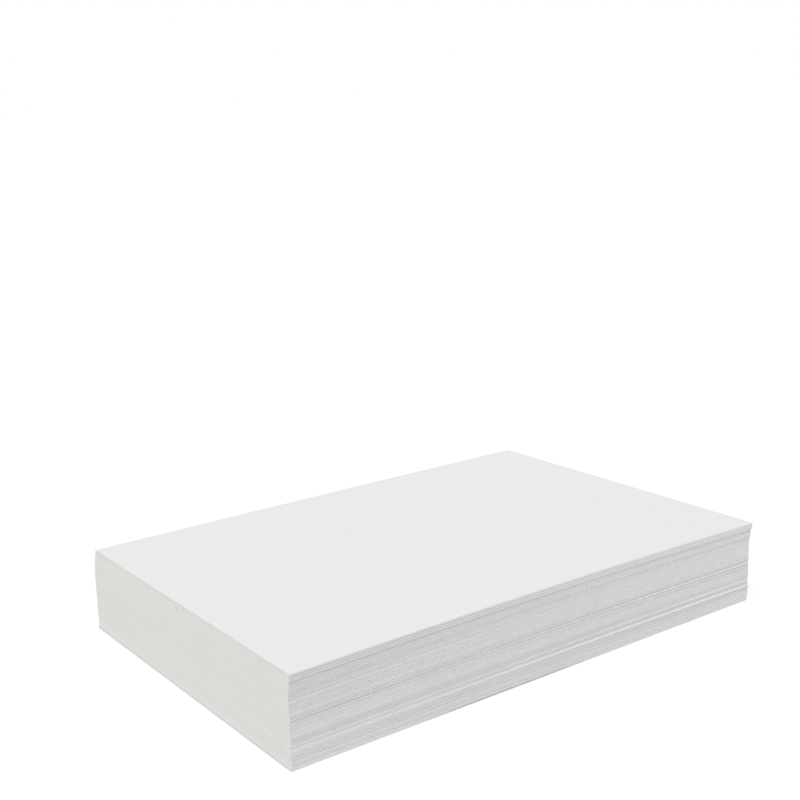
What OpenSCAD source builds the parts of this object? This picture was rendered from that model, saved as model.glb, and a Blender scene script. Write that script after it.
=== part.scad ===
// A ream of A4 copy paper out of its wrapper: loose sheets in one square stack.
// Sizes are in millimetres and +Z is up. The page width lies along X and the page
// length along Y. The origin is at the middle of the footprint, on the underside.

/* [Sheet] */
// Width of a sheet, along X
sheet_w = 210; // [150:1:300]
// Length of a sheet, along Y
sheet_l = 297; // [210:1:430]
// Thickness of a sheet, with the air that lies between it and the next
sheet_t = 0.092; // [0.08:0.002:0.12]

/* [Stack] */
// Sheets in the ream
sheet_count = 500; // [250:50:600]
// Sheets that the guillotine left flush, which show as one fine step
step_sheets = 4; // [2:1:10]
// How far the loose sheets bulge up in the middle of the top, above its two short ends
crown = 1.4; // [0.2:0.1:4]
// How far a fine step stands out of line with its lift on the long faces
jog_side = 0.2; // [0.05:0.05:0.5]
// How far it stands out of line on the short faces, where the stack was knocked up
jog_end = 0.06; // [0.01:0.01:0.5]
// How far the top sheet overhangs the bottom one, along X
lean_x = 1.6; // [0:0.2:5]
// How far the top sheet is fanned back along Y
fan_y = 1.2; // [0:0.2:4]

/* [Hidden] */
NODES = [
    "lift_01", "lift_02", "lift_03", "lift_04", "lift_05", "lift_06",
    "lift_07", "lift_08", "lift_09", "lift_10", "lift_11", "lift_12"
];

// The stack was fanned and put down in handfuls, called lifts. Each row is one lift,
// from the bottom up: its share of the sheets in percent, how far it is knocked out
// of line along X and along Y, and its turn about Z in degrees.
LIFTS = [
    [10,  0.30,  0.00,  0.08],
    [ 6,  0.25,  0.02,  0.04],
    [ 5,  0.35, -0.02, -0.02],
    [ 4, -0.20,  0.02, -0.04],
    [ 5, -0.45, -0.02,  0.02],
    [ 9,  0.35,  0.02,  0.03],
    [12,  0.00,  0.00,  0.00],
    [ 8,  0.20,  0.02,  0.05],
    [12, -0.05, -0.02,  0.02],
    [11, -0.20,  0.00, -0.02],
    [ 9,  0.10,  0.02, -0.05],
    [ 9,  0.65,  0.02, -0.09]
];
SHARE = 0;
SHIFT_X = 1;
SHIFT_Y = 2;
TURN = 3;

stack_h = sheet_count * sheet_t;
// Straight stretches that make up the bulge along the page length
bend_count = 8;
// Room round the footprint for shifts, turns and the lean
margin = 10;
reach = sheet_l / 2 + margin;
// Share of a sheet's thickness by which a fine step is sunk into the next, to join them
knit = 0.2;
jog_seed = 7;
paper_white = [0.95, 0.95, 0.94];

// Sheets that lie under lift k
function sheets_below(k) =
    round(sheet_count * share_below(k) / share_below(len(LIFTS)));
function share_below(k) = k == 0 ? 0 : share_below(k - 1) + LIFTS[k - 1][SHARE];

// Share of the bulge that the lowest n sheets make up. Most of it is low in the stack.
function bulge(n) = 1 - pow(1 - n / sheet_count, 3);

// Height at the place y of the top of n stacked sheets. They lie tight at the short
// ends and hold more air towards the middle of the page length.
function layer_z(n, y) =
    n * sheet_t + crown * bulge(n) * (1 - pow(2 * y / sheet_l, 2));

function bend_y(i) = -reach + 2 * reach * i / bend_count;

// The layer between n1 and n2 sheets, wider and longer than the paper
module layer(n1, n2) {
    lower = [for (i = [0 : bend_count]) [bend_y(i), layer_z(n1, bend_y(i))]];
    upper = [for (i = [bend_count : -1 : 0]) [bend_y(i), layer_z(n2, bend_y(i))]];
    translate([-sheet_w / 2 - margin, 0, 0])
        rotate([90, 0, 90])
            linear_extrude(height = sheet_w + 2 * margin)
                polygon(concat(lower, upper));
}

// How far the sheet at the share t of the height is fanned, as a share of fan_y: the
// upper half back in a smooth curve, the lowest eighth forward by half as much
function fanned(t) = pow(max(0, 2 * t - 1), 2) - pow(max(0, 1 - 8 * t), 2) / 2;

// Outline of the sheets round number n, as a tall prism
module outline(n, lift, jog_x, jog_y) {
    t = n / sheet_count;
    x = (t - 0.5) * lean_x + lift[SHIFT_X] + jog_x;
    y = fanned(t) * fan_y + lift[SHIFT_Y] + jog_y;
    translate([x, y, -margin])
        rotate(lift[TURN])
            linear_extrude(height = stack_h + 2 * margin)
                square([sheet_w, sheet_l], center = true);
}

// Lift k: its fine steps, one on another
module lift(k) {
    first = sheets_below(k);
    last = sheets_below(k + 1);
    step_count = ceil((last - first) / step_sheets);
    jogs = rands(-1, 1, 2 * step_count, jog_seed + k);
    color(paper_white)
        for (j = [0 : step_count - 1]) {
            n1 = first + j * step_sheets;
            n2 = min(n1 + step_sheets, last);
            intersection() {
                layer(n1, min(n2 + knit, last));
                outline((n1 + n2) / 2, LIFTS[k], jog_side * jogs[2 * j], jog_end * jogs[2 * j + 1]);
            }
        }
}

for (k = [0 : len(NODES) - 1])
    lift(k);
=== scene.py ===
"""Looks of a ream of A4 copy paper out of its wrapper.

Every sheet is a thin closed plate of its own. The sheets of one lift (a handful) make one
piece, which stands for that lift's CAD node: it takes its place, turn and height from the
node's mesh, and adds the small shifts of packets and single sheets that show on the faces.
Lengths are in millimetres and tones in percent, unless a comment says otherwise.
"""
import math

import bpy
import numpy as np
from mathutils import Matrix, Vector


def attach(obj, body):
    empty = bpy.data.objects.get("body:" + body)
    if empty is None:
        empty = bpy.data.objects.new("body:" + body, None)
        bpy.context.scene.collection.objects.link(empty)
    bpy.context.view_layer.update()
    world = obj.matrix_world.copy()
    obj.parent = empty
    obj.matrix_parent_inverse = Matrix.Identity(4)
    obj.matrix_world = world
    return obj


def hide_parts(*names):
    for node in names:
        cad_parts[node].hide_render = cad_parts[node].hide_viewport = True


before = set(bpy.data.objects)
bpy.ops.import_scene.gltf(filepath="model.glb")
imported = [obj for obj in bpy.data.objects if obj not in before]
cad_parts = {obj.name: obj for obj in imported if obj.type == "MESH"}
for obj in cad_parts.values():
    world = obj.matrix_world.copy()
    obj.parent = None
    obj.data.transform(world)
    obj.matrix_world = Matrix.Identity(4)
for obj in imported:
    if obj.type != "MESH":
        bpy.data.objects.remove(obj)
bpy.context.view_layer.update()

MM = 0.001
SHEET_W = 210.0
SHEET_L = 297.0
SHEET_T = 0.092       # one sheet with the air over it
AIR = 0.008           # that air
SHEETS = 500
LEAN_X = 1.6          # overhang of the top sheet over the bottom one
FAN_Y = 1.2           # how far the top sheet is fanned back
CROWN = 1.4           # rise of the middle of the page length on the +X side
CROWN_LEFT = 0.2      # share of that rise on the -X side

# Packets of sheets that were cut and knocked together, lift by lift from the bottom up.
# Each row is the number of sheets, and how far the packet stands out of its lift on the
# +X face, at the near end (-Y) and at the far end (+Y). Rows of two or three sheets that
# stand far back are the grooves that show as dark lines.
PACKETS = [
    [(24, 0.03, 0.00), (2, -0.10, -0.04), (8, 0.05, 0.02), (2, -0.15, 0.00), (11, 0.08, 0.02),
     (3, 0.08, 0.05)],
    [(2, -0.40, -0.10), (5, 0.12, 0.05), (2, -0.35, 0.00), (6, 0.14, 0.02), (2, -0.30, -0.10),
     (5, 0.16, 0.06), (2, -0.30, 0.00), (6, 0.12, 0.04)],
    [(2, -0.40, -0.15), (6, 0.10, 0.35), (2, -0.30, 0.15), (5, 0.02, 0.35), (2, -0.30, 0.35),
     (6, -0.15, 0.75), (2, -0.25, 0.30)],
    [(3, 0.22, 0.15), (6, 0.30, 0.35), (3, 0.00, -0.15), (5, 0.30, 0.30), (3, 0.30, 0.45)],
    [(3, 0.45, 0.65), (9, 0.55, 0.90), (2, 0.20, 0.60), (8, 0.65, 0.60), (3, 0.55, 0.55)],
    [(7, 0.02, 0.02), (3, -0.22, -0.10), (6, 0.04, 0.02), (2, -0.12, -0.05), (12, 0.05, 0.00),
     (2, -0.15, 0.00), (13, -0.12, -0.12)],
    [(16, 0.10, 0.08), (2, -0.10, 0.05), (10, 0.02, 0.00), (3, 0.02, 0.30), (7, 0.02, 0.00),
     (2, -0.15, -0.02), (7, 0.04, 0.02), (4, 0.04, 0.45), (6, 0.04, 0.02), (3, -0.15, 0.02)],
    [(5, -0.20, -0.38), (9, 0.10, 0.08), (2, -0.24, -0.03), (9, 0.10, 0.02), (2, -0.24, -0.04),
     (11, 0.00, -0.08), (2, -0.22, -0.08)],
    [(11, 0.14, 0.10), (2, -0.14, -0.02), (9, 0.02, 0.00), (3, 0.10, 0.04), (2, -0.14, -0.02),
     (12, 0.05, 0.01), (2, -0.12, 0.00), (8, 0.00, 0.00), (3, 0.08, 0.02), (2, -0.12, 0.00),
     (6, 0.04, 0.00)],
    [(9, 0.02, 0.00), (3, 0.10, 0.02), (2, -0.15, -0.02), (12, 0.05, 0.00), (2, -0.14, 0.00),
     (10, 0.00, 0.00), (3, 0.09, 0.02), (2, -0.13, 0.00), (12, 0.05, 0.00)],
    [(2, -0.16, 0.00), (12, 0.05, 0.00), (2, -0.16, -0.02), (11, 0.03, 0.00),
     (2, -0.15, -0.02), (14, 0.02, 0.00), (2, -0.30, -0.35)],
    [(5, -0.26, -0.42), (10, 0.03, 0.02), (2, -0.14, -0.08), (14, 0.02, 0.02),
     (2, -0.10, -0.05), (12, 0.00, 0.02)],
]

# Tone of the long edges, lift by lift: the lowest lift, the four over it and the upper ones
# The four lifts over the lowest are paler by painted light, and the upper lifts darker by painted
# shade.
PAINTED_LIFT_TONES = (0.0,) + (5.0,) * 4 + (-2.0,) * 7
# Painted light and shade: the upper sheets' long edges paler towards the far end and darker
# towards the near end
PAINTED_FAR_LIGHT = 10.0       # how much paler the top sheet's long edges are at the far end
# Painted highlight on the long edges of the top sheets
RIM_SHEETS = 6        # top sheets whose long edges are paler by the next value
RIM_PAINTED_HIGHLIGHT = 12.0

# The short edges of the top sheets and of the lowest ones are darker. Those of the other
# low sheets are darkened little by little towards the foot, where the floor lights them.
TOP_SHEETS = 19
TOP_TONE = -3.0
# Painted shade at the foot of the short faces
FOOT_SHEETS = 12
FOOT_PAINTED_SHADE = -14.0
# Painted shade on the short edges of the low sheets, against the floor's light
LOW_SHEETS = 160
LOW_PAINTED_SHADE = -3.0

# The lowest sheets' edges on the +X face are in shade along a stretch of the page length
SHADE_SHEETS = 9
SHADE_TONE = -31.0
SHADE_MIDDLE = -24.0  # middle of that stretch, along Y
SHADE_HALF = 48.0     # half its length

# Spread of the differences that are left to chance
PACKET_TONE = 1.2
SHEET_TONE = 1.0
END_NOISE = 0.5       # share of a sheet's tone that shows on its short edges
FAR_NOISE = 0.4       # share of it that shows at the far end of the top sheet's long edges
SHEET_X = 0.012
SHEET_Y = 0.008
SHEET_TURN = 0.00004  # radians
SEED = 31

SQUEEZE = 0.005       # of the air between two sheets, what a packet gives up at its +X edge
STATIONS_X = np.array((-105.0, -55.0, 0.0, 55.0, 96.0, 105.0))
STATIONS_Y = np.linspace(-SHEET_L / 2, SHEET_L / 2, 25)
CORNER = 5.0          # how near to a sheet's corner a lift's corner vertices lie

# Kinds of faces of a sheet, which are also the numbers of their materials
FACE, END, SIDE = 0, 1, 2

# Place, radius and darkness of the two specks on the ream: on the top sheet and a short face
TOP_SPECK = ((-23.2, -99.5, 46.8), 1.6, 0.08)
END_SPECK = ((-2.6, -147.7, 42.6), 1.5, 0.20)
SPECK_CORE = 0.3      # share of its radius in which a speck is evenly dark

FLOOR_HALF = 30.0     # metres
FLOOR_DROP = 0.0001   # metres, so that the floor and the lowest sheet aren't in one plane

# The photograph's viewpoint, worked out from the stack's seven visible corners
AZIMUTH, ELEVATION, ROLL = 54.778, 13.166, -2.435
CAMERA_PLACE = (562.54, -401.65, 285.31)
PICTURE = 800         # width of the photograph in pixels
FOCAL = 1315.0        # pixels
MIDDLE_X = 408.0      # where the view axis meets the picture, in pixels
SENSOR = 36


def lift_place(name):
    """Middle (x, y), turn, and lowest and highest end z of a lift's CAD node."""
    co = np.array([v.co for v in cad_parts[name].data.vertices]) / MM
    mid, corners = [], {}
    for sx in (-1, 1):
        for sy in (-1, 1):
            near = co[(np.abs(co[:, 0] - sx * SHEET_W / 2) < CORNER)
                      & (np.abs(co[:, 1] - sy * SHEET_L / 2) < CORNER)]
            corners[sx, sy] = near.mean(0)
            mid.append([near[:, 0].mean(), near[:, 1].mean(), near[:, 2].min(), near[:, 2].max()])
    mid = np.array(mid)
    run = corners[1, 1] + corners[-1, 1] - corners[1, -1] - corners[-1, -1]
    turn = math.atan2(-run[0], run[1])
    return mid[:, 0].mean(), mid[:, 1].mean(), turn, mid[:, 2].min(), mid[:, 3].max()


def rise(n, x, y):
    """How much the air between the lowest n sheets lifts the place (x, y) of the next one."""
    share = 1 - (1 - n / SHEETS) ** 3
    side = CROWN_LEFT + (1 - CROWN_LEFT) * (0.5 + x / SHEET_W)
    return CROWN * share * side * np.clip(1 - (2 * y / SHEET_L) ** 2, 0, 1)


def fan(n):
    """How far sheet number n lies back along Y. The lowest eighth stands forward instead."""
    t = n / SHEETS
    return FAN_Y * (np.maximum(0, 2 * t - 1) ** 2 - np.maximum(0, 1 - 8 * t) ** 2 / 2)


def end_tone(n, tone):
    """Tone of the short edges of sheet number n, whose own tone is given."""
    # painted shade at the foot
    if n < FOOT_SHEETS:
        return FOOT_PAINTED_SHADE
    if n >= SHEETS - TOP_SHEETS:
        return TOP_TONE
    # the sheet's own tone, with painted shade towards the foot
    return END_NOISE * tone + LOW_PAINTED_SHADE * max(0, 1 - n / LOW_SHEETS)


def side_tone(k, n, tone, x, y):
    """Tone at (x, y) of the long edges of sheet number n, which lies in lift k.

    The sheet's own tone is given. Higher up, less of it shows towards the far end.
    """
    along = 0.5 + y / SHEET_L
    height = n / SHEETS
    # painted light and shade, lift by lift and towards the far end
    side = PAINTED_LIFT_TONES[k] + PAINTED_FAR_LIGHT * height ** 2 * (along - 0.5)
    side += tone * (1 - (1 - FAR_NOISE) * height * along)
    # painted highlight on the top sheets' long edges
    if n >= SHEETS - RIM_SHEETS:
        side += RIM_PAINTED_HIGHLIGHT
    if n < SHADE_SHEETS:
        side += (x > 0) * SHADE_TONE * np.clip(1 - ((y - SHADE_MIDDLE) / SHADE_HALF) ** 4, 0, 1)
    return side


def add_sheet(mesh, k, n, x, y, z, turn, skew, squeeze, tone):
    """Adds sheet number n, with its middle over (x, y), to the lists of its lift k."""
    gx, gy = (g.ravel() for g in np.meshgrid(STATIONS_X, STATIONS_Y))
    z = z + rise(n, gx, gy) + squeeze * (gx == STATIONS_X[-1])
    px = x + skew * gy + gx * math.cos(turn) - gy * math.sin(turn)
    py = y + gx * math.sin(turn) + gy * math.cos(turn)
    mesh["verts"] += [np.stack([px, py, z], 1), np.stack([px, py, z + SHEET_T - AIR], 1)]
    up = len(gx)
    grid = np.arange(up).reshape(len(STATIONS_Y), len(STATIONS_X))
    quads = (grid[:-1, :-1], grid[:-1, 1:], grid[1:, 1:], grid[1:, :-1])
    a, b, c, d = (g.ravel() for g in quads)
    faces = [np.stack([a, d, c, b], 1), np.stack([a, b, c, d], 1) + up]
    kinds = [np.full(2 * len(a), FACE, np.int32)]
    rims = ((END, grid[0, :]), (SIDE, grid[:, -1]), (END, grid[-1, ::-1]), (SIDE, grid[::-1, 0]))
    for kind, rim in rims:
        p, q = rim[:-1], rim[1:]
        faces.append(np.stack([p, q, q + up, p + up], 1))
        kinds.append(np.full(len(p), kind, np.int32))
    faces, kinds = np.concatenate(faces), np.concatenate(kinds)
    mesh["faces"].append(faces + mesh["count"])
    mesh["count"] += 2 * up
    mesh["kind"].append(kinds)
    fx, fy = (np.concatenate([g, g])[faces].mean(1) for g in (gx, gy))
    ends, sides = np.full_like(fy, end_tone(n, tone)), side_tone(k, n, tone, fx, fy)
    tones = np.choose(kinds, (np.zeros_like(fy), ends, sides))
    mesh["tone"].append(tones.astype(np.float32))


def lift_sheets(k, n_first, rng):
    """Vertices, faces, face kinds and tones of lift k, whose first sheet is number n_first."""
    cx, cy, turn, z_min, z_max = lift_place("lift_%02d" % (k + 1))
    count = sum(row[0] for row in PACKETS[k])
    mid_fan = fan(n_first + np.arange(count)).mean()
    mesh = {"verts": [], "faces": [], "kind": [], "tone": [], "count": 0}
    i = 0
    for size, near, far in PACKETS[k]:
        packet_tone = rng.normal(0, PACKET_TONE)
        for j in range(size):
            n = n_first + i
            lean = (i + 0.5 - count / 2) / SHEETS * LEAN_X
            add_sheet(
                mesh, k, n,
                x=cx + lean + ((near + far) / 2 + rng.normal(0, SHEET_X)),
                y=cy + fan(n) - mid_fan + rng.normal(0, SHEET_Y),
                z=z_min + i * (z_max - z_min) / count,
                turn=turn + rng.normal(0, SHEET_TURN),
                skew=(far - near) / SHEET_L,
                squeeze=((size - 1) / 2 - j) * SQUEEZE,
                tone=packet_tone + rng.normal(0, SHEET_TONE))
            i += 1
    return mesh


def build_lift(k, n_first, rng):
    """One lift's sheets as one piece of closed plates."""
    name = "lift_%02d" % (k + 1)
    mesh = lift_sheets(k, n_first, rng)
    data = bpy.data.meshes.new("sheets_" + name)
    verts = np.concatenate(mesh["verts"]) * MM
    faces = np.concatenate(mesh["faces"])
    data.vertices.add(len(verts))
    data.vertices.foreach_set("co", verts.astype(np.float32).ravel())
    data.loops.add(faces.size)
    data.loops.foreach_set("vertex_index", faces.astype(np.int32).ravel())
    data.polygons.add(len(faces))
    data.polygons.foreach_set("loop_start", np.arange(0, faces.size, 4, dtype=np.int32))
    for mat in (paper_face, paper_end, paper_side):
        data.materials.append(mat)
    data.polygons.foreach_set("material_index", np.concatenate(mesh["kind"]))
    data.update(calc_edges=True)
    tone = data.attributes.new("tone", "FLOAT", "FACE")
    tone.data.foreach_set("value", np.concatenate(mesh["tone"]))
    data.validate()
    data.shade_flat()
    piece = bpy.data.objects.new("sheets_" + name, data)
    bpy.context.scene.collection.objects.link(piece)
    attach(piece, "root")
    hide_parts(name)
    return piece


def new_material(name):
    """A material with no nodes yet, and its node tree."""
    mat = bpy.data.materials.new(name)
    mat.use_nodes = True
    tree = mat.node_tree
    tree.nodes.clear()
    return mat, tree


def node(tree, kind, **values):
    """A new node with its properties and inputs set. In an input's name _ stands for a space."""
    made = tree.nodes.new(kind)
    for key, value in values.items():
        if hasattr(made, key):
            setattr(made, key, value)
        else:
            made.inputs[key.replace("_", " ")].default_value = value
    return made


def ramp(tree, low, high, color_low, color_high):
    """A colour ramp from one colour at low to another at high."""
    made = tree.nodes.new("ShaderNodeValToRGB")
    made.color_ramp.elements[0].position = low
    made.color_ramp.elements[1].position = high
    made.color_ramp.elements[0].color = (*color_low, 1)
    made.color_ramp.elements[1].color = (*color_high, 1)
    return made


def scaled(tree, color, factor):
    """The colour times the factor."""
    made = node(tree, "ShaderNodeVectorMath", operation="SCALE")
    tree.links.new(color, made.inputs[0])
    tree.links.new(factor, made.inputs["Scale"])
    return made.outputs[0]


def speck(tree, color, where, centre, radius, dark):
    """Darkens the colour in a small soft spot."""
    away = node(tree, "ShaderNodeVectorMath", operation="DISTANCE")
    tree.links.new(where, away.inputs[0])
    away.inputs[1].default_value = Vector(centre) * MM
    fade = node(tree, "ShaderNodeMapRange", interpolation_type="SMOOTHSTEP",
                From_Min=SPECK_CORE * radius * MM, From_Max=radius * MM,
                To_Min=1 - dark, To_Max=1)
    tree.links.new(away.outputs["Value"], fade.inputs["Value"])
    return scaled(tree, color, fade.outputs["Result"])


def paper_material(name, low, high, edge, spot=None):
    """Matt uncoated paper, clouded between two colours, with fine fibres in its surface.

    An edge takes the tone of its sheet, and spot is the place, radius and darkness of a speck.
    """
    mat, tree = new_material(name)
    link = tree.links.new
    out = node(tree, "ShaderNodeOutputMaterial")
    bsdf = node(tree, "ShaderNodeBsdfPrincipled", Roughness=0.85, Specular_IOR_Level=0.2)
    link(bsdf.outputs[0], out.inputs[0])
    where = node(tree, "ShaderNodeTexCoord").outputs["Object"]
    cloud = node(tree, "ShaderNodeTexNoise", Scale=90.0, Detail=3.0, Roughness=0.6)
    fibre = node(tree, "ShaderNodeTexNoise", Scale=2600.0, Detail=4.0, Roughness=0.7)
    link(where, cloud.inputs["Vector"])
    link(where, fibre.inputs["Vector"])
    both = node(tree, "ShaderNodeMix", data_type="FLOAT", Factor=0.35)
    link(cloud.outputs[0], both.inputs["A"])
    link(fibre.outputs[0], both.inputs["B"])
    tint = ramp(tree, 0.35, 0.65, low, high)
    link(both.outputs["Result"], tint.inputs[0])
    color = tint.outputs[0]
    if edge:
        tone = node(tree, "ShaderNodeAttribute", attribute_name="tone")
        share = node(tree, "ShaderNodeMath", operation="MULTIPLY_ADD")
        link(tone.outputs["Fac"], share.inputs[0])
        share.inputs[1].default_value = 0.01
        share.inputs[2].default_value = 1.0
        color = scaled(tree, color, share.outputs[0])
    if spot:
        color = speck(tree, color, where, *spot)
    link(color, bsdf.inputs["Base Color"])
    bump = node(tree, "ShaderNodeBump", Strength=0.15, Distance=0.00003)
    link(fibre.outputs[0], bump.inputs["Height"])
    link(bump.outputs[0], bsdf.inputs["Normal"])
    return mat


def floor_material():
    """Plain pale floor. The camera sees it white, with the object's shadow on it."""
    mat, tree = new_material("studio_floor")
    link = tree.links.new
    out = node(tree, "ShaderNodeOutputMaterial")
    plain = node(tree, "ShaderNodeBsdfDiffuse", Color=(0.8, 0.8, 0.8, 1))
    bright = node(tree, "ShaderNodeBsdfDiffuse", Color=(0.6, 0.6, 0.6, 1))
    glow = node(tree, "ShaderNodeEmission", Color=(1, 1, 1, 1), Strength=0.50)
    seen = node(tree, "ShaderNodeAddShader")
    link(bright.outputs[0], seen.inputs[0])
    link(glow.outputs[0], seen.inputs[1])
    rays = node(tree, "ShaderNodeLightPath")
    pick = node(tree, "ShaderNodeMixShader")
    link(rays.outputs["Is Camera Ray"], pick.inputs[0])
    link(plain.outputs[0], pick.inputs[1])
    link(seen.outputs[0], pick.inputs[2])
    link(pick.outputs[0], out.inputs[0])
    return mat


def lay_floor():
    """A flat sheet just under the ream."""
    h = FLOOR_HALF
    data = bpy.data.meshes.new("studio_floor")
    data.from_pydata([(-h, -h, 0), (h, -h, 0), (h, h, 0), (-h, h, 0)], [], [(0, 1, 2, 3)])
    data.materials.append(floor_material())
    floor = bpy.data.objects.new("studio_floor", data)
    bpy.context.scene.collection.objects.link(floor)
    floor.location.z = -FLOOR_DROP


def sun_lamp(name, toward, strength, angle, color):
    """A lamp that lights the scene evenly from a direction. A wide angle, in degrees, is soft."""
    data = bpy.data.lights.new(name, "SUN")
    data.energy = strength
    data.angle = math.radians(angle)
    data.color = color
    lamp = bpy.data.objects.new(name, data)
    bpy.context.scene.collection.objects.link(lamp)
    lamp.rotation_euler = Vector(toward).to_track_quat("Z", "Y").to_euler()


def set_world(strength):
    """Even light from all round. The camera, mirrors and glass see it as plain white."""
    world = bpy.data.worlds.new("studio")
    bpy.context.scene.world = world
    world.use_nodes = True
    tree = world.node_tree
    tree.nodes.clear()
    link = tree.links.new
    out = node(tree, "ShaderNodeOutputWorld")
    light = node(tree, "ShaderNodeBackground", Color=(1, 1, 1, 1), Strength=strength)
    white = node(tree, "ShaderNodeBackground", Color=(1, 1, 1, 1), Strength=1.0)
    rays = node(tree, "ShaderNodeLightPath")
    seen = rays.outputs["Is Camera Ray"]
    for other in ("Is Glossy Ray", "Is Transmission Ray"):
        most = node(tree, "ShaderNodeMath", operation="MAXIMUM")
        link(seen, most.inputs[0])
        link(rays.outputs[other], most.inputs[1])
        seen = most.outputs[0]
    pick = node(tree, "ShaderNodeMixShader")
    link(seen, pick.inputs[0])
    link(light.outputs[0], pick.inputs[1])
    link(white.outputs[0], pick.inputs[2])
    link(pick.outputs[0], out.inputs[0])


def set_camera():
    """The camera at the photograph's viewpoint."""
    azimuth, elevation, roll = (math.radians(v) for v in (AZIMUTH, ELEVATION, ROLL))
    back = Vector((math.sin(azimuth) * math.cos(elevation),
                   -math.cos(azimuth) * math.cos(elevation), math.sin(elevation)))
    right = Vector((0, 0, 1)).cross(back).normalized()
    up = back.cross(right)
    turned_right = right * math.cos(roll) + up * math.sin(roll)
    turned_up = up * math.cos(roll) - right * math.sin(roll)
    data = bpy.data.cameras.new("camera")
    data.sensor_width = SENSOR
    data.lens = SENSOR * FOCAL / PICTURE
    data.shift_x = -(MIDDLE_X - PICTURE / 2) / PICTURE
    data.clip_start = 0.01
    camera = bpy.data.objects.new("camera", data)
    bpy.context.scene.collection.objects.link(camera)
    pose = Matrix((turned_right, turned_up, back)).transposed().to_4x4()
    pose.translation = Vector(CAMERA_PLACE) * MM
    camera.matrix_world = pose
    bpy.context.scene.camera = camera


paper_face = paper_material("paper_face", (0.862, 0.864, 0.850), (0.876, 0.878, 0.866), False,
                            TOP_SPECK)
paper_end = paper_material("paper_end", (0.846, 0.852, 0.830), (0.862, 0.868, 0.846), True,
                           END_SPECK)
paper_side = paper_material("paper_side", (0.840, 0.841, 0.834), (0.866, 0.867, 0.860), True)

laid = 0
for k, rows in enumerate(PACKETS):
    build_lift(k, laid, np.random.default_rng(SEED + k))
    laid += sum(row[0] for row in rows)
assert laid == SHEETS

lay_floor()
set_world(0.50)
sun_lamp("lamp_front", (0.170, -0.203, 0.454), strength=1.65, angle=40, color=(1, 1, 0.99))
set_camera()
bpy.context.scene.view_settings.view_transform = "Standard"
